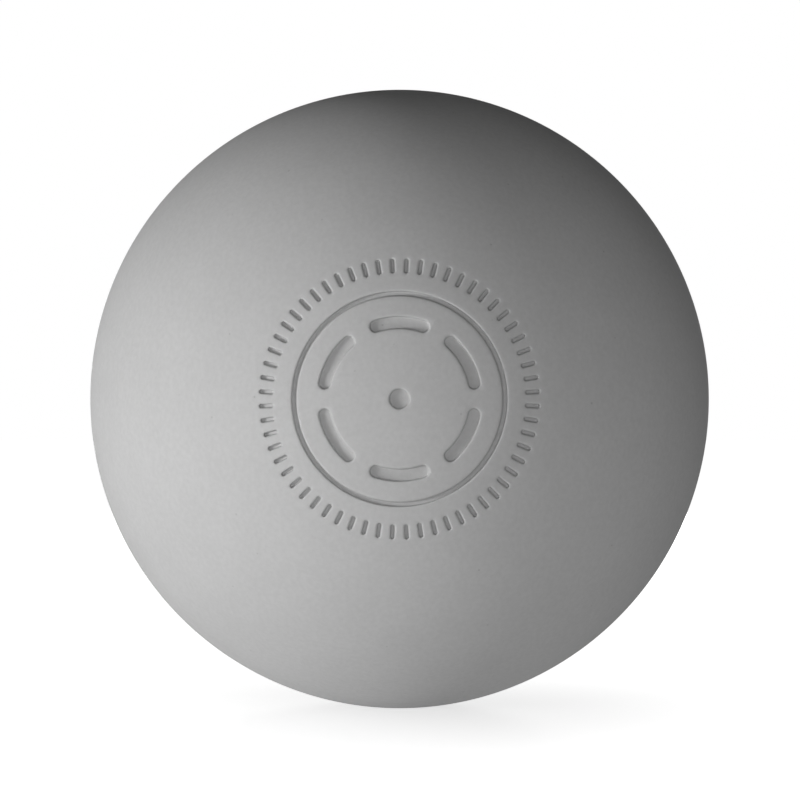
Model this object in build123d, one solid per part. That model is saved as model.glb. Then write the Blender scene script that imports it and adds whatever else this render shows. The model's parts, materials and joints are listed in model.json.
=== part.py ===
"""Lacrosse ball: a solid rubber core inside a rubber cover that is pressed on as two half cups.

Frame: millimetres, +Z up, origin at the ball's centre. The marked side faces -Y, and the two
halves of the cover meet on the plane Y = 0, which is the parting plane of the mould.
"""

import os
from math import asin, sin, sqrt

from build123d import *

# Driving dimensions of the ball
BALL_DIAMETER = 63.5
COVER_THICKNESS = 5.0
BOND_LINE = 0.05  # film of rubber cement between the core and the cover
SEAM_BREAK = 0.15  # bevel on the outer rim of each half, a hairline where they meet

# Driving dimensions of the mark pressed into the front half, from its outside inwards
MARK_DIAMETER = 25.4
MARK_DEPTH = 0.5
TICK_COUNT = 60
TICK_LENGTH = 1.3
TICK_WIDTH = 0.36
RING_GAP = 1.7  # from the inner ends of the ticks to the ring
RING_WIDTH = 0.4
BAR_GAP = 1.9  # from the ring to the curved bars
BAR_COUNT = 6
BAR_WIDTH = 1.1
BAR_SWEEP = 36.0  # degrees between the centres of a bar's round ends
DOT_DIAMETER = 1.8

# Sizes that follow from them
OUTER_RADIUS = BALL_DIAMETER / 2
INNER_RADIUS = OUTER_RADIUS - COVER_THICKNESS
CORE_RADIUS = INNER_RADIUS - BOND_LINE
FLOOR_RADIUS = OUTER_RADIUS - MARK_DEPTH
MARK_RADIUS = MARK_DIAMETER / 2
TICK_MID_RADIUS = MARK_RADIUS - TICK_LENGTH / 2
RING_OUTER_RADIUS = MARK_RADIUS - TICK_LENGTH - RING_GAP
RING_INNER_RADIUS = RING_OUTER_RADIUS - RING_WIDTH
BAR_MID_RADIUS = RING_INNER_RADIUS - BAR_GAP - BAR_WIDTH / 2
DOT_RADIUS = DOT_DIAMETER / 2

# Flat drawing of the mark as seen by someone facing the front: X to the right, Z up
MARK_PLANE = Plane(origin=(0, -BALL_DIAMETER, 0), x_dir=(1, 0, 0), z_dir=(0, -1, 0))


def on_front(radius, x):
    """The point of a circle about the ball's centre at distance x from the Y axis, on the front."""
    return (x, -sqrt(radius**2 - x**2))


def front_arc(radius, x_start, x_end):
    """The arc about the ball's centre between two distances from the Y axis."""
    x_middle = radius * sin((asin(x_start / radius) + asin(x_end / radius)) / 2)
    return ThreePointArc(on_front(radius, x_start), on_front(radius, x_middle), on_front(radius, x_end))


def side_wall(x):
    """The straight side of a groove at distance x from the Y axis."""
    return Line(on_front(OUTER_RADIUS, x), on_front(FLOOR_RADIUS, x))


def seam_edge():
    """The flat rim on the parting plane and its bevel, with the distance where the outside begins."""
    corner = (OUTER_RADIUS - SEAM_BREAK, 0)
    outside = on_front(OUTER_RADIUS, sqrt(OUTER_RADIUS**2 - SEAM_BREAK**2))
    return [Line((INNER_RADIUS, 0), corner), Line(corner, outside)], outside[0]


def plain_section():
    """Half section of a cover half without a mark."""
    seam, start = seam_edge()
    outside = front_arc(OUTER_RADIUS, start, 0)
    pole = Line((0, -OUTER_RADIUS), (0, -INNER_RADIUS))
    inside = front_arc(INNER_RADIUS, 0, INNER_RADIUS)
    return make_face([*seam, outside, pole, inside])


def marked_section():
    """Half section of the marked half: the ring's groove and the dot at the pole are sunk in it."""
    seam, start = seam_edge()
    outside = [
        front_arc(OUTER_RADIUS, start, RING_OUTER_RADIUS),
        side_wall(RING_OUTER_RADIUS),
        front_arc(FLOOR_RADIUS, RING_OUTER_RADIUS, RING_INNER_RADIUS),
        side_wall(RING_INNER_RADIUS),
        front_arc(OUTER_RADIUS, RING_INNER_RADIUS, DOT_RADIUS),
        side_wall(DOT_RADIUS),
        front_arc(FLOOR_RADIUS, DOT_RADIUS, 0),
    ]
    pole = Line((0, -FLOOR_RADIUS), (0, -INNER_RADIUS))
    inside = front_arc(INNER_RADIUS, 0, INNER_RADIUS)
    return make_face([*seam, *outside, pole, inside])


def pressed_slots():
    """Cutting tools for the ticks and the curved bars, each with a floor that follows the ball."""
    tick = SlotOverall(TICK_LENGTH, TICK_WIDTH)
    half_pitch = 180 / TICK_COUNT  # no tick lies on the axes
    tick_places = PolarLocations(TICK_MID_RADIUS, TICK_COUNT, start_angle=half_pitch)
    bar = SlotArc(CenterArc((0, 0), BAR_MID_RADIUS, 90 - BAR_SWEEP / 2, BAR_SWEEP), BAR_WIDTH)
    bar_places = PolarLocations(0, BAR_COUNT)
    shapes = [place * tick for place in tick_places] + [place * bar for place in bar_places]
    floor = Sphere(FLOOR_RADIUS)
    return [extrude(MARK_PLANE * shape, -BALL_DIAMETER) - floor for shape in shapes]


def core():
    """The solid ball inside."""
    return Sphere(CORE_RADIUS)


def front_cover():
    """The marked half: ring and dot are turned with the section, ticks and bars are cut."""
    return revolve(marked_section(), Axis.Y) - pressed_slots()


def back_cover():
    """The plain half, turned to the other side of the parting plane."""
    return mirror(revolve(plain_section(), Axis.Y), Plane.XZ)


def main():
    os.makedirs("parts", exist_ok=True)
    for name, part in {"core": core(), "front_cover": front_cover(), "back_cover": back_cover()}.items():
        export_step(part, f"parts/{name}.step")
        print(f"{name}: {len(part.solids())} solid, {part.volume:.1f} mm3")


main()
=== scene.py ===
# %% [markdown]
# # A lacrosse ball in matt grey rubber
# This ball is built as covered rubber balls are: a solid core inside a thick cover. The cover is
# moulded as two half cups that meet round the middle, and the mould presses a shallow mark into the
# front half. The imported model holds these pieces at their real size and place. This lesson makes finer
# meshes for the two halves in the same frame, in metres, and gives them the look of moulded rubber.

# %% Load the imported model
import json
import math

import bpy
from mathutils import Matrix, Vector

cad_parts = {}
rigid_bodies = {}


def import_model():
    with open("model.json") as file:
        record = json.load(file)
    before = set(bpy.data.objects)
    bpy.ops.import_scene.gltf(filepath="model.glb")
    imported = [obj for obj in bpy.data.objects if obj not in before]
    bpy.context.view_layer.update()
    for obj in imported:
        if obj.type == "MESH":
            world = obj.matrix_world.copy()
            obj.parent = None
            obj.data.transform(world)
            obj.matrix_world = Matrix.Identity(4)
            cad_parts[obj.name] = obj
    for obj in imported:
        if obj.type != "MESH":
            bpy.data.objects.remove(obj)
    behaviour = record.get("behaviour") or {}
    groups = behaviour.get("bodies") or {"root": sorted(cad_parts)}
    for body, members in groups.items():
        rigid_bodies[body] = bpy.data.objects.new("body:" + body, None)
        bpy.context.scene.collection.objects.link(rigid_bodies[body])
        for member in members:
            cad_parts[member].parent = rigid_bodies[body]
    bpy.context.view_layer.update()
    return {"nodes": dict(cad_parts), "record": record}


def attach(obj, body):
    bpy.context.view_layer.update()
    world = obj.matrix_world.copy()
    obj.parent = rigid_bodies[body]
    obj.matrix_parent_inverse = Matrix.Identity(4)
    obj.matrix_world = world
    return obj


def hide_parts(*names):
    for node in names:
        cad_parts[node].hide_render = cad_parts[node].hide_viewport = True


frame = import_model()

MM = 0.001
print("CAD nodes:", ", ".join(sorted(frame["nodes"])))

# %% [markdown]
# ## The section of a half cup
# A half cup is round about the axis through its pole, like something turned on a lathe. It could be
# cut from a ready-made sphere, but a section drawn point by point puts each ring of points exactly
# where the mark needs an edge later. The section lies in the plane Z = 0. It starts at the inside pole,
# follows the inner wall out to the parting plane Y = 0, rounds the seam edge and comes back along the
# outside. The front of the ball faces -Y.

# %% Points of the section
mounts = {mount["name"]: mount for mount in frame["record"]["mounts"]}
BALL_RADIUS = mounts["ball_cradle"]["dims"]["r_mm"] * MM
COVER_THICKNESS = 5.0 * MM
SEAM_ROUND = 0.15 * MM  # radius of the edge where the halves meet, which shows as a hairline
SEAM_START = math.sqrt(BALL_RADIUS**2 - SEAM_ROUND**2)  # from the axis to where the outside begins
POLE_RADIUS = 0.3 * MM  # the section stops this short of the axis, and a small face closes the hole
SEAM_STEPS = 4
INSIDE_STEPS = 14


def steps(start, end, count):
    """Evenly spaced values from start to end, both included."""
    return [start + (end - start) * k / count for k in range(count + 1)]


def on_front(radius, away):
    """The point of a sphere about the origin, at a distance from the Y axis, on the front side."""
    return Vector((away, -math.sqrt(radius**2 - away**2), 0.0))


def inside_wall():
    """The arc from the inside pole to the parting plane."""
    radius = BALL_RADIUS - COVER_THICKNESS
    angles = steps(math.asin(POLE_RADIUS / radius), math.pi / 2, INSIDE_STEPS)
    return [on_front(radius, radius * math.sin(angle)) for angle in angles]


def seam_edge():
    """The quarter circle from the parting plane to the outside."""
    centre = on_front(BALL_RADIUS, SEAM_START) - Vector((SEAM_ROUND, 0, 0))
    angles = steps(0, math.pi / 2, SEAM_STEPS)
    return [centre + SEAM_ROUND * Vector((math.sin(angle), math.cos(angle), 0)) for angle in angles]


def half_cup_section(ring_radii):
    """The whole chain, with a point on the outside at each of these distances from the axis."""
    return inside_wall() + seam_edge() + [on_front(BALL_RADIUS, away) for away in ring_radii]


print("ball radius in mm:", BALL_RADIUS / MM)

# %% [markdown]
# ## Turning the blank
# The chain is drawn by extruding one vertex from point to point, and Spin turns it round the Y axis.
# A Screw modifier could turn it too, but Spin works in edit mode, where the blank is then merged and
# closed. 480 steps give columns of three quarters of a degree, so ticks and bars of the mark begin and
# end on a column, and the outline of the ball looks round in a close view too.

# %% Draw and spin
COLUMNS = 480
COLUMN_ANGLE = 360 / COLUMNS
MERGE_DISTANCE = 0.0001 * MM


def turned_half(name, section):
    """A half cup turned from its section, closed at both poles, with its normals outwards."""
    bpy.ops.object.select_all(action="DESELECT")
    bpy.ops.mesh.primitive_plane_add(size=MM)
    half = bpy.context.object
    half.name = half.data.name = name
    bpy.ops.object.mode_set(mode="EDIT")
    bpy.context.tool_settings.mesh_select_mode = (True, False, False)
    bpy.ops.mesh.merge(type="CENTER")
    bpy.ops.transform.translate(value=section[0])
    for start, end in zip(section, section[1:]):
        bpy.ops.mesh.extrude_region_move(TRANSFORM_OT_translate={"value": end - start})
    bpy.ops.mesh.select_all(action="SELECT")
    bpy.ops.mesh.spin(steps=COLUMNS, angle=2 * math.pi, center=(0, 0, 0), axis=(0, 1, 0))
    bpy.ops.mesh.select_all(action="SELECT")
    bpy.ops.mesh.remove_doubles(threshold=MERGE_DISTANCE)
    bpy.ops.mesh.fill_holes(sides=0)
    bpy.ops.mesh.normals_make_consistent(inside=False)
    bpy.ops.mesh.select_all(action="DESELECT")
    bpy.ops.object.mode_set(mode="OBJECT")
    print(name, "has", len(half.data.vertices), "points and", len(half.data.polygons), "faces")
    return half


print("degrees in a column:", COLUMN_ANGLE)

# %% [markdown]
# ## The back half
# The back half is plain, so its rings only have to be close enough to look round. One more ring, next
# to the seam edge, keeps the shading of that edge from spreading over the ball. The half is turned as a
# front half. A mirror would take it to the far side of the parting plane too, but can turn its faces
# inside out, so it is swung half a turn about the Z axis.

# %% Turn the back half
SEAM_SUPPORT = math.sqrt(BALL_RADIUS**2 - (2 * SEAM_ROUND)**2)  # from the axis to that ring
BACK_RINGS = 44
SMOOTH_ANGLE = math.radians(50)  # faces that meet at less than this are shaded as one curve


def rings_by_angle(start, end, count):
    """Distances from the axis for rings spaced evenly over the curve of the ball."""
    first, last = (math.asin(away / BALL_RADIUS) for away in (start, end))
    return [BALL_RADIUS * math.sin(angle) for angle in steps(first, last, count)]


back_rings = rings_by_angle(SEAM_SUPPORT, POLE_RADIUS, BACK_RINGS)
back_half = turned_half("back_half", half_cup_section(back_rings))
bpy.ops.object.mode_set(mode="EDIT")
bpy.ops.mesh.select_all(action="SELECT")
bpy.ops.transform.rotate(value=math.pi, orient_axis="Z", center_override=(0, 0, 0))
bpy.ops.object.mode_set(mode="OBJECT")
bpy.ops.object.shade_smooth_by_angle(angle=SMOOTH_ANGLE)

# %% [markdown]
# ## Rings for the mark
# The mark is a plain round figure: a circle of ticks, a thin ring, six curved bars and a dot. On the
# front half, every edge of the mark that runs round the axis needs a ring of points of its own, and
# one more a little outside it, so that the shading of the rims doesn't spread over the ball. Rings could
# be cut into a finished half, but it is simpler to give the section its points at these distances.
# Rubber has no sharp rims, so each shape is drawn wider by the rounding that its rim will get.

# %% Sizes of the mark
RIM_ROUND = 0.16 * MM
MARK_RADIUS = 12.7 * MM + RIM_ROUND
MARK_DEPTH = 0.5 * MM
TICK_COUNT = 60
TICK_LENGTH = 1.3 * MM + 2 * RIM_ROUND
TICK_WIDTH = 0.36 * MM + 2 * RIM_ROUND
RING_OUTER = 9.7 * MM + RIM_ROUND
RING_INNER = 9.3 * MM - RIM_ROUND
BAR_COUNT = 6
BAR_MIDDLE = 6.85 * MM
BAR_WIDTH = 1.1 * MM + 2 * RIM_ROUND
BAR_SWEEP = 36.0  # degrees between the centres of a bar's round ends
DOT_RADIUS = 0.9 * MM + RIM_ROUND

tick_middle = MARK_RADIUS - TICK_LENGTH / 2
tick_straight = (TICK_LENGTH - TICK_WIDTH) / 2  # from its middle to where its round end begins
print("mark in mm:", round(2 * MARK_RADIUS / MM, 2), "across its rims and", MARK_DEPTH / MM, "deep")

# %% Rings and blank of the front half
RIM_MARGIN = 0.25 * MM  # from an edge of the mark to the ring outside it
TICK_END_STEPS = 3
TICK_SIDE_STEPS = 4
BAR_STEPS = 8
BAND_STEPS = 2  # over the bare bands on both sides of the thin ring
MIDDLE_STEPS = 6  # between the bars and the dot
FRONT_RINGS = 30  # between the seam and the mark

tick_rings = [
    *steps(MARK_RADIUS, tick_middle + tick_straight, TICK_END_STEPS),
    *steps(tick_middle + tick_straight, tick_middle - tick_straight, TICK_SIDE_STEPS)[1:-1],
    *steps(tick_middle - tick_straight, MARK_RADIUS - TICK_LENGTH, TICK_END_STEPS),
]
bar_rings = steps(BAR_MIDDLE + BAR_WIDTH / 2, BAR_MIDDLE - BAR_WIDTH / 2, BAR_STEPS)
mark_rings = [
    MARK_RADIUS + RIM_MARGIN,
    *tick_rings,
    *steps(tick_rings[-1] - RIM_MARGIN, RING_OUTER + RIM_MARGIN, BAND_STEPS),
    RING_OUTER,
    RING_INNER,
    *steps(RING_INNER - RIM_MARGIN, bar_rings[0] + RIM_MARGIN, BAND_STEPS),
    *bar_rings,
    *steps(bar_rings[-1] - RIM_MARGIN, DOT_RADIUS + RIM_MARGIN, MIDDLE_STEPS),
    DOT_RADIUS,
    POLE_RADIUS,
]
front_rings = rings_by_angle(SEAM_SUPPORT, mark_rings[0], FRONT_RINGS)[:-1] + mark_rings
front_half = turned_half("front_half", half_cup_section(front_rings))

# %% [markdown]
# ## Choosing the faces of the mark
# The mark's shapes are blocks of the turned grid. By hand, their faces would be picked with the mouse.
# Here they are chosen by where their middles lie: how far from the axis, and at which angle round it.
# Angles count from +X towards +Z, as seen by someone who faces the front of the ball. The points inside
# a block are dissolved, which leaves one face for each tick, each bar and the dot, so that its edge can
# be moved inwards without running into a finer grid. The thin ring has no points inside it.

# %% Select the faces to press in
TICK_COLUMNS = 2  # columns on each side of a tick's middle
BAR_END_COLUMNS = 8  # columns that become a bar's round end


def place_of(point):
    """Distance from the axis, and angle round it in degrees."""
    return math.hypot(point.x, point.z), math.degrees(math.atan2(point.z, point.x))


def from_nearest(angle, count):
    """Degrees from the nearest of so many evenly spaced places, the first half a space from zero."""
    space = 360 / count
    return angle % space - space / 2


def in_tick(away, angle):
    """Whether a place lies in one of the ticks, while their ends are square."""
    inside_length = abs(away - tick_middle) < TICK_LENGTH / 2
    return inside_length and abs(from_nearest(angle, TICK_COUNT)) < TICK_COLUMNS * COLUMN_ANGLE


def in_bar(away, angle):
    """Whether a place lies in one of the curved bars, while their ends are square."""
    half_sweep = BAR_SWEEP / 2 + BAR_END_COLUMNS * COLUMN_ANGLE
    inside_width = abs(away - BAR_MIDDLE) < BAR_WIDTH / 2
    return inside_width and abs(from_nearest(angle, BAR_COUNT)) < half_sweep


def in_mark(away, angle):
    """Whether a place lies in any shape of the mark."""
    in_ring = RING_INNER < away < RING_OUTER
    return in_ring or away < DOT_RADIUS or in_tick(away, angle) or in_bar(away, angle)


def choose_mark(mesh):
    """Select the faces of the mark on the outside, and nothing else, and count them."""
    bpy.context.tool_settings.mesh_select_mode = (False, False, True)
    wall_middle = BALL_RADIUS - COVER_THICKNESS / 2
    for face in mesh.polygons:
        on_outside = face.center.y < 0 and face.center.length > wall_middle
        face.select = on_outside and in_mark(*place_of(face.center))
    return sum(face.select for face in mesh.polygons)


front_mesh = front_half.data
print("faces in the mark before dissolving:", choose_mark(front_mesh))
bpy.ops.object.mode_set(mode="EDIT")
bpy.ops.mesh.select_mode(type="VERT")
bpy.ops.mesh.select_less()
bpy.ops.mesh.dissolve_verts()
bpy.ops.mesh.select_all(action="DESELECT")
bpy.ops.object.mode_set(mode="OBJECT")
print("faces in the mark after dissolving:", choose_mark(front_mesh))

# %% [markdown]
# ## Rounding the ends of ticks and bars
# A mould cutter is round, so the strokes that it leaves end in half circles. The chosen blocks still
# have square ends. A bevel of their corners could fold over itself on strokes this narrow, so the points
# are moved by a formula instead. A known one maps a square to a disc, and half of it maps a square end
# to a round one.

# %% Map square ends to round ones


def round_end(along, across):
    """Where a point of a square end goes, with along from 0 to 1 and across from -1 to 1."""
    return along * math.sqrt(1 - across**2 / 2), across * math.sqrt(1 - along**2 / 2)


def flat_place(away, angle):
    """The place in X and Z at a distance and an angle."""
    return Vector((away * math.cos(math.radians(angle)), away * math.sin(math.radians(angle))))


def tick_point(away, angle):
    """The flat place of a tick's point once its ends are round and its sides are parallel."""
    turn = from_nearest(angle, TICK_COUNT)
    across = turn / (TICK_COLUMNS * COLUMN_ANGLE)
    along = away - tick_middle
    beyond = abs(along) - tick_straight
    if beyond > 0:
        end_along, across = round_end(beyond / (TICK_WIDTH / 2), across)
        along = math.copysign(tick_straight + end_along * TICK_WIDTH / 2, along)
    outwards = flat_place(1, angle - turn)
    return outwards * (tick_middle + along) + outwards.orthogonal() * across * TICK_WIDTH / 2


def bar_point(away, angle):
    """The flat place of a bar's point once its ends are round."""
    turn = from_nearest(angle, BAR_COUNT)
    beyond = abs(turn) - BAR_SWEEP / 2
    if beyond <= 0:
        return flat_place(away, angle)
    across = (away - BAR_MIDDLE) / (BAR_WIDTH / 2)
    along, across = round_end(beyond / (BAR_END_COLUMNS * COLUMN_ANGLE), across)
    outwards = flat_place(1, angle - turn + math.copysign(BAR_SWEEP / 2, turn))
    onwards = outwards.orthogonal() * math.copysign(along, turn)
    return outwards * (BAR_MIDDLE + across * BAR_WIDTH / 2) + onwards * BAR_WIDTH / 2


outline = {index for face in front_mesh.polygons if face.select for index in face.vertices}
for point in (front_mesh.vertices[index] for index in outline):
    away, angle = place_of(point.co)
    if away > RING_OUTER + RIM_MARGIN:
        flat = tick_point(away, angle)
    elif DOT_RADIUS + RIM_MARGIN < away < RING_INNER - RIM_MARGIN:
        flat = bar_point(away, angle)
    else:
        continue
    point.co = (flat.x, -math.sqrt(BALL_RADIUS**2 - flat.length_squared), flat.y)
print("points on the outlines of the mark:", len(outline))

# %% [markdown]
# ## Pressing the mark in
# A Boolean could cut the strokes, but it would leave sharp rims and long thin faces that shade badly.
# Here each stroke is pressed in by steps: an inset moves its edge inwards, and a move along Y, the way
# the mould opens, takes it deeper. The steps follow a round rim, then a steep side that leans a little
# so that the mould comes free, and then a round foot on the floor of the stroke.

# %% Inset and push
FOOT_ROUND = 0.12 * MM
DRAFT = 0.02 * MM  # how much the side leans
ROUND_STEPS = 3  # of the rim, and of the foot

quarter = [(math.sin(angle), 1 - math.cos(angle)) for angle in steps(0, math.pi / 2, ROUND_STEPS)]
quarter_steps = [(end[0] - start[0], end[1] - start[1]) for start, end in zip(quarter, quarter[1:])]
rim = [(RIM_ROUND * inwards, RIM_ROUND * deeper) for inwards, deeper in quarter_steps]
side = [(DRAFT, MARK_DEPTH - RIM_ROUND - FOOT_ROUND)]
foot = [(FOOT_ROUND * inwards, FOOT_ROUND * deeper) for deeper, inwards in quarter_steps]
bpy.ops.object.mode_set(mode="EDIT")
for inwards, deeper in rim + side + foot:
    bpy.ops.mesh.inset(thickness=inwards, depth=0)
    bpy.ops.transform.translate(value=(0, deeper, 0))
bpy.ops.object.mode_set(mode="OBJECT")
bpy.ops.object.shade_smooth_by_angle(angle=SMOOTH_ANGLE)
print("faces of the front half:", len(front_mesh.polygons))

# %% [markdown]
# ## Nodes for materials
# A material is a small tree of nodes. In the shader editor, each node is added, its fields are set and
# its links are drawn by hand, and one function does the same here. Colours are written as sRGB hex
# values, as a colour picker shows them, and a second function turns them to the linear values that
# nodes take.

# %% Helpers for materials


def linear(hex_colour):
    """The linear colour of an sRGB hex value."""
    channels = [int(hex_colour[k:k + 2], 16) / 255 for k in (1, 3, 5)]
    return [c / 12.92 if c <= 0.04045 else ((c + 0.055) / 1.055) ** 2.4 for c in channels] + [1.0]


def add_node(tree, kind, settings, inputs):
    """A new node with its settings, and its inputs set to values or linked to other sockets."""
    node = tree.nodes.new(kind)
    for name, value in settings.items():
        setattr(node, name, value)
    for name, value in inputs.items():
        if isinstance(value, bpy.types.NodeSocket):
            tree.links.new(value, node.inputs[name])
        else:
            node.inputs[name].default_value = value
    return node


def new_material(name):
    """A new material with no nodes yet, and its node tree."""
    material = bpy.data.materials.new(name)
    material.use_nodes = True
    material.node_tree.nodes.clear()
    return material, material.node_tree


print("linear value of the middle grey #808080:", round(linear("#808080")[0], 3))

# %% [markdown]
# ## Rubber of the cover
# The cover is vulcanised rubber, pressed in a blasted steel mould and left as it came out: neutral
# light grey and matt, with hardly any sheen. Close up it has a fine grain, a faint cloudiness from the
# mixing of the compound, and a few dark specks where a grain of filler or a pinhole meets the surface.
# The strokes of the mark are a little darker, a painted shade that stands for the shade down in them,
# and the seam has a dull strip where it was trimmed. A picture wrapped round the ball would stretch at
# its poles. Noise on the object's own coordinates has the same scale all over, so each pattern is
# worked out from a real size.

# %% Clouds and grain
CLOUD_SIZE = 6.0 * MM
CLOUD_TONE = 0.015  # the clouds make the grey lighter or darker by up to this share
GRAIN_SIZE = 0.45 * MM  # a blasted mould leaves under 0.1 mm, drawn coarser here so that it shows
GRAIN_TONE = 0.03  # and the grain by up to this one
NOISE_LOW = 0.3  # most values of a noise texture lie between these two
NOISE_HIGH = 0.7


def cover_tone(tree, clouds, grain):
    """A factor close to one, by which the clouds and the grain make the grey lighter or darker."""
    cloud_tone = add_node(tree, "ShaderNodeMapRange", {}, {
        "Value": clouds, "From Min": NOISE_LOW, "From Max": NOISE_HIGH,
        "To Min": 1 - CLOUD_TONE, "To Max": 1 + CLOUD_TONE})
    grain_tone = add_node(tree, "ShaderNodeMapRange", {}, {
        "Value": grain, "From Min": NOISE_LOW, "From Max": NOISE_HIGH,
        "To Min": 1 - GRAIN_TONE, "To Max": 1 + GRAIN_TONE})
    tone = add_node(tree, "ShaderNodeMath", {"operation": "MULTIPLY"}, {
        0: cloud_tone.outputs["Result"], 1: grain_tone.outputs["Result"]})
    return tone.outputs["Value"]


print("clouds and grain in mm:", round(CLOUD_SIZE / MM, 2), "and", round(GRAIN_SIZE / MM, 2))

# %% Specks, and painted shade in the strokes
SPECK_SPACING = 2.6 * MM
SPECK_RADIUS = 0.15 * MM
SPECK_DARK = 0.25
# painted shade: the strokes of the mark are darkened the deeper they go, standing in for the shade in
# them
PAINTED_SHADE_START = 0.05 * MM  # how deep in a stroke the painted shade begins to show
PAINTED_SHADE_FULL = 0.8 * MARK_DEPTH  # how deep it shows in full
PAINTED_SHADE_DARK = 0.08


def cover_specks_and_painted_shade(tree, place):
    """How much darker the rubber is at a speck, and with painted shade down in a stroke of the mark."""
    specks = add_node(tree, "ShaderNodeTexVoronoi", {}, {"Vector": place, "Scale": 1 / SPECK_SPACING})
    speck = add_node(tree, "ShaderNodeMapRange", {"interpolation_type": "SMOOTHSTEP"}, {
        "Value": specks.outputs["Distance"], "From Min": SPECK_RADIUS / SPECK_SPACING, "From Max": 0.0,
        "To Min": 0.0, "To Max": SPECK_DARK})
    height = add_node(tree, "ShaderNodeVectorMath", {"operation": "LENGTH"}, {0: place})
    # painted shade in the strokes, darker with depth below the outside of the ball
    painted_shade = add_node(tree, "ShaderNodeMapRange", {"interpolation_type": "SMOOTHSTEP"}, {
        "Value": height.outputs["Value"], "From Min": BALL_RADIUS - PAINTED_SHADE_START,
        "From Max": BALL_RADIUS - PAINTED_SHADE_FULL, "To Min": 0.0, "To Max": PAINTED_SHADE_DARK})
    darkening = add_node(tree, "ShaderNodeMath", {"operation": "ADD"}, {
        0: speck.outputs["Result"], 1: painted_shade.outputs["Result"]})
    return darkening.outputs["Value"]


print("largest speck in mm:", round(2 * SPECK_RADIUS / MM, 2))

# %% Roughness
ROUGHNESS_LOW = 0.86
ROUGHNESS_HIGH = 0.94
SEAM_BAND = 0.45 * MM  # half of the strip along the seam where the flash was trimmed off
SEAM_MIDDLE = SEAM_BAND / 2  # nearer to the seam than this, the strip is dullest
SEAM_DULL = 0.1


def cover_roughness(tree, place, clouds):
    """Rough all over, a little less or more with the clouds, and roughest where the seam was trimmed."""
    roughness = add_node(tree, "ShaderNodeMapRange", {}, {
        "Value": clouds, "From Min": NOISE_LOW, "From Max": NOISE_HIGH,
        "To Min": ROUGHNESS_LOW, "To Max": ROUGHNESS_HIGH})
    parts = add_node(tree, "ShaderNodeSeparateXYZ", {}, {"Vector": place})
    from_seam = add_node(tree, "ShaderNodeMath", {"operation": "ABSOLUTE"}, {0: parts.outputs["Y"]})
    trimmed = add_node(tree, "ShaderNodeMapRange", {"interpolation_type": "SMOOTHSTEP"}, {
        "Value": from_seam.outputs["Value"], "From Min": SEAM_BAND, "From Max": SEAM_MIDDLE,
        "To Min": 0.0, "To Max": SEAM_DULL})
    finish = add_node(tree, "ShaderNodeMath", {"operation": "ADD"}, {
        0: roughness.outputs["Result"], 1: trimmed.outputs["Result"]})
    return finish.outputs["Value"]


print("roughness away from the seam:", ROUGHNESS_LOW, "to", ROUGHNESS_HIGH)

# %% Cover rubber
COVER_COLOUR = "#c6c6c6"
CLOUD_DETAIL = 3.0
GRAIN_DETAIL = 2.0
GRAIN_DEPTH = 0.006 * MM
RUBBER_IOR = 1.5
COVER_GLOSS = 0.05  # a bloom of wax on moulded rubber scatters nearly all of the mirror-like reflection


def cover_rubber():
    """Vulcanised rubber as it leaves the mould: a soft, even grey without highlights."""
    material, tree = new_material("vulcanised_rubber_moulded_grey")
    place = add_node(tree, "ShaderNodeTexCoord", {}, {}).outputs["Object"]
    clouds = add_node(tree, "ShaderNodeTexNoise", {}, {
        "Vector": place, "Scale": 1 / CLOUD_SIZE, "Detail": CLOUD_DETAIL}).outputs["Fac"]
    grain = add_node(tree, "ShaderNodeTexNoise", {}, {
        "Vector": place, "Scale": 1 / GRAIN_SIZE, "Detail": GRAIN_DETAIL}).outputs["Fac"]
    shade = add_node(tree, "ShaderNodeMath", {"operation": "SUBTRACT"}, {
        0: cover_tone(tree, clouds, grain), 1: cover_specks_and_painted_shade(tree, place)})
    colour = add_node(tree, "ShaderNodeVectorMath", {"operation": "SCALE"}, {
        0: linear(COVER_COLOUR)[:3], "Scale": shade.outputs["Value"]})
    bump = add_node(tree, "ShaderNodeBump", {}, {
        "Strength": 1.0, "Distance": GRAIN_DEPTH, "Height": grain})
    shader = add_node(tree, "ShaderNodeBsdfPrincipled", {}, {
        "Base Color": colour.outputs["Vector"], "Roughness": cover_roughness(tree, place, clouds),
        "IOR": RUBBER_IOR, "Specular IOR Level": COVER_GLOSS, "Normal": bump.outputs["Normal"]})
    add_node(tree, "ShaderNodeOutputMaterial", {}, {"Surface": shader.outputs["BSDF"]})
    return material


grey_rubber = cover_rubber()
print(grey_rubber.name, "has", len(grey_rubber.node_tree.nodes), "nodes")

# %% [markdown]
# ## Rubber of the core
# The core is moulded first, from rubber with more filler, and its surface is left rough so that the
# cement holds on it. The cover hides it, and it shows only when a half is taken away. Its shape in the
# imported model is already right, so it needs no new mesh, only a darker and grittier rubber.

# %% Core rubber
CORE_COLOUR = "#938f8b"
GRIT_SIZE = 0.6 * MM
GRIT_DETAIL = 4.0
GRIT_DEPTH = 0.03 * MM
GRIT_DARKEST = 0.85
GRIT_LIGHTEST = 1.1
CORE_ROUGHNESS = 0.85


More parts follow.
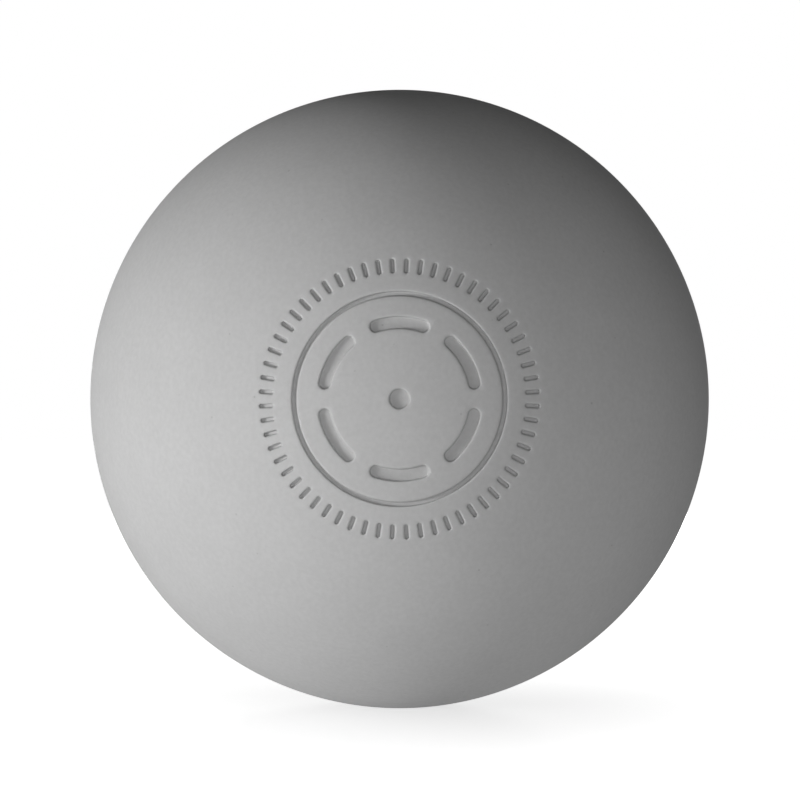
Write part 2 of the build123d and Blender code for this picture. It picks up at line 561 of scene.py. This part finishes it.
def core_rubber():
    """Vulcanised rubber with much filler, pressed rough: a dark, gritty grey."""
    material, tree = new_material("vulcanised_rubber_core")
    place = add_node(tree, "ShaderNodeTexCoord", {}, {}).outputs["Object"]
    grit = add_node(tree, "ShaderNodeTexNoise", {}, {
        "Vector": place, "Scale": 1 / GRIT_SIZE, "Detail": GRIT_DETAIL}).outputs["Fac"]
    tone = add_node(tree, "ShaderNodeMapRange", {}, {
        "Value": grit, "From Min": NOISE_LOW, "From Max": NOISE_HIGH,
        "To Min": GRIT_DARKEST, "To Max": GRIT_LIGHTEST})
    colour = add_node(tree, "ShaderNodeVectorMath", {"operation": "SCALE"}, {
        0: linear(CORE_COLOUR)[:3], "Scale": tone.outputs["Result"]})
    bump = add_node(tree, "ShaderNodeBump", {}, {
        "Strength": 1.0, "Distance": GRIT_DEPTH, "Height": grit})
    shader = add_node(tree, "ShaderNodeBsdfPrincipled", {}, {
        "Base Color": colour.outputs["Vector"], "Roughness": CORE_ROUGHNESS, "IOR": RUBBER_IOR,
        "Normal": bump.outputs["Normal"]})
    add_node(tree, "ShaderNodeOutputMaterial", {}, {"Surface": shader.outputs["BSDF"]})
    return material


gritty_rubber = core_rubber()
print(gritty_rubber.name, "has", len(gritty_rubber.node_tree.nodes), "nodes")

# %% [markdown]
# ## Putting the pieces in place
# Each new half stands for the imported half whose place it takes, and rides on the ball's only body, so
# that it goes wherever the ball goes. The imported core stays, and gets the new material for its own.

# %% Give each piece its finish, its body and its node
for piece, node in ((front_half, "front_cover"), (back_half, "back_cover")):
    piece.data.materials.append(grey_rubber)
    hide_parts(node)
    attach(piece, "root")
core = frame["nodes"]["core"]
core.data.materials.clear()
core.data.materials.append(gritty_rubber)

# %% [markdown]
# ## Floor and background
# The ball lies on a light table, a white panel that glows a little, so light comes up from below and
# the background is white. More light could make the ground white too, but it would fall on the ball as
# well. Here the Light Path node tells what kind of ray arrives: what the camera or a reflection sees of
# the table and the world is white, while the light that they give to the ball is low. Under the ball
# the glow that is seen is dimmed, a painted shadow, so the table needs the lamps to look white there,
# and the ball's real shadow from them stays on it.

# %% World
AMBIENT = 0.045  # what the world gives to the ball


def seen_directly(tree):
    """One for rays from the camera, from a reflection or through glass, and nought for other rays."""
    path = add_node(tree, "ShaderNodeLightPath", {}, {})
    either = add_node(tree, "ShaderNodeMath", {"operation": "MAXIMUM"}, {
        0: path.outputs["Is Camera Ray"], 1: path.outputs["Is Glossy Ray"]})
    return add_node(tree, "ShaderNodeMath", {"operation": "MAXIMUM"}, {
        0: either.outputs["Value"], 1: path.outputs["Is Transmission Ray"]}).outputs["Value"]


world = bpy.data.worlds.new("white_studio")
world.use_nodes = True
sky = world.node_tree
sky.nodes.clear()
strength = add_node(sky, "ShaderNodeMapRange", {}, {
    "Value": seen_directly(sky), "To Min": AMBIENT, "To Max": 1.0})
background = add_node(sky, "ShaderNodeBackground", {}, {
    "Color": (1, 1, 1, 1), "Strength": strength.outputs["Result"]})
add_node(sky, "ShaderNodeOutputWorld", {}, {"Surface": background.outputs["Background"]})
bpy.context.scene.world = world
print("world:", world.name)

# %% Floor
FLOOR_SIZE = 3.0
FLOOR_COLOUR = "#e0e0e0"
FLOOR_LIGHT = 0.166  # what the table gives to the ball
FLOOR_WHITE_IN_PAINTED_SHADOW = 0.62  # how white the table's glow looks under the ball, where it is darkened as a painted shadow
PAINTED_SHADOW_REACH = 1.6 * BALL_RADIUS  # how far from there the painted shadow reaches before the glow is white


def light_table():
    """Opal acrylic, lit from below: white, but with a painted shadow under the ball, and it takes the
    lamps' soft shadow.
    """
    material, tree = new_material("opal_acrylic_light_table")
    place = add_node(tree, "ShaderNodeTexCoord", {}, {}).outputs["Object"]
    away = add_node(tree, "ShaderNodeVectorMath", {"operation": "LENGTH"}, {0: place})
    # painted shadow: what the camera sees of the glow is dimmer near the ball, whatever the lamps do
    white = add_node(tree, "ShaderNodeMapRange", {"interpolation_type": "SMOOTHSTEP"}, {
        "Value": away.outputs["Value"], "From Min": 0.0, "From Max": PAINTED_SHADOW_REACH,
        "To Min": FLOOR_WHITE_IN_PAINTED_SHADOW, "To Max": 1.0})
    glow = add_node(tree, "ShaderNodeMapRange", {}, {
        "Value": seen_directly(tree), "To Min": FLOOR_LIGHT, "To Max": white.outputs["Result"]})
    panel = add_node(tree, "ShaderNodeBsdfDiffuse", {}, {"Color": linear(FLOOR_COLOUR)})
    light = add_node(tree, "ShaderNodeEmission", {}, {"Strength": glow.outputs["Result"]})
    both = add_node(tree, "ShaderNodeAddShader", {}, {
        0: panel.outputs["BSDF"], 1: light.outputs["Emission"]})
    add_node(tree, "ShaderNodeOutputMaterial", {}, {"Surface": both.outputs["Shader"]})
    return material


bpy.ops.object.select_all(action="DESELECT")
bpy.ops.mesh.primitive_plane_add(size=FLOOR_SIZE, location=(0, 0, -BALL_RADIUS))
floor = bpy.context.object
floor.name = "floor"
floor.data.materials.append(light_table())
print("floor height in mm:", round(floor.location.z / MM, 2))

# %% [markdown]
# ## Lamps
# The ball is lit from one side. A large soft lamp would fill the strokes of the mark with light, and
# they would hardly show. A low strip lamp on the left skims the front instead, so the floors of the
# strokes lie in shade, their far rims are bright, and the top of the ball stays dark. A weaker strip in
# front keeps that shade and the right side from going black, and a third lamp behind lights the back.

# %% Soft boxes


def soft_box(name, azimuth, elevation, distance, width, height, power):
    """A rectangular lamp that faces the ball, placed as a camera view is: azimuth 0 is in front.

    Angles are in degrees, lengths in metres and the power in watts.
    """
    turn = math.radians(azimuth)
    rise = math.radians(elevation)
    lamp = bpy.data.lights.new(name, "AREA")
    lamp.shape = "RECTANGLE"
    lamp.size = width
    lamp.size_y = height
    lamp.energy = power
    box = bpy.data.objects.new(name, lamp)
    towards = Vector((math.sin(turn) * math.cos(rise), -math.cos(turn) * math.cos(rise), math.sin(rise)))
    box.location = towards * distance
    box.rotation_euler = towards.to_track_quat("Z", "Y").to_euler()
    box.visible_camera = False
    bpy.context.scene.collection.objects.link(box)
    print(name, "stands at", [round(part / MM) for part in box.location], "mm")


soft_box("key_left", azimuth=-62, elevation=-4, distance=0.25, width=0.10, height=0.025, power=0.332)
soft_box("fill_front", azimuth=0, elevation=-4, distance=0.25, width=0.15, height=0.025, power=0.134)
soft_box("back", azimuth=170, elevation=8, distance=0.40, width=0.10, height=0.06, power=0.60)

# %% [markdown]
# ## Camera
# The photograph looks straight at the front of the ball, which is about 619 of its 800 pixels across. A
# wide lens close by would see less of the ball, so a long one is chosen, and the outline stays near a
# great circle. The camera's distance follows from the ball's radius: the outline is where a ray from the
# camera just touches the ball.

# %% Camera
LENS = 100.0  # in millimetres, as the sensor is
SENSOR = 36.0
CLIP_START = 0.01
CLIP_END = 10.0
IMAGE_PIXELS = 800
OUTLINE_PIXELS = 309.3  # radius of the ball in the photograph
CENTRE_PIXELS = Vector((-0.4, 1.0))  # how far right and up the ball's centre is from the middle

focal_pixels = LENS / SENSOR * IMAGE_PIXELS
camera_distance = BALL_RADIUS / math.sin(math.atan(OUTLINE_PIXELS / focal_pixels))
aim = CENTRE_PIXELS * camera_distance / focal_pixels
camera_data = bpy.data.cameras.new("camera")
camera_data.lens = LENS
camera_data.sensor_width = SENSOR
camera_data.clip_start = CLIP_START
camera_data.clip_end = CLIP_END
camera = bpy.data.objects.new("camera", camera_data)
camera.location = (-aim.x, -camera_distance, -aim.y)
camera.rotation_euler = (math.pi / 2, 0, 0)
bpy.context.scene.collection.objects.link(camera)
bpy.context.scene.camera = camera
bpy.context.scene.view_settings.view_transform = "Standard"
print("camera distance in mm:", round(camera_distance / MM, 1))
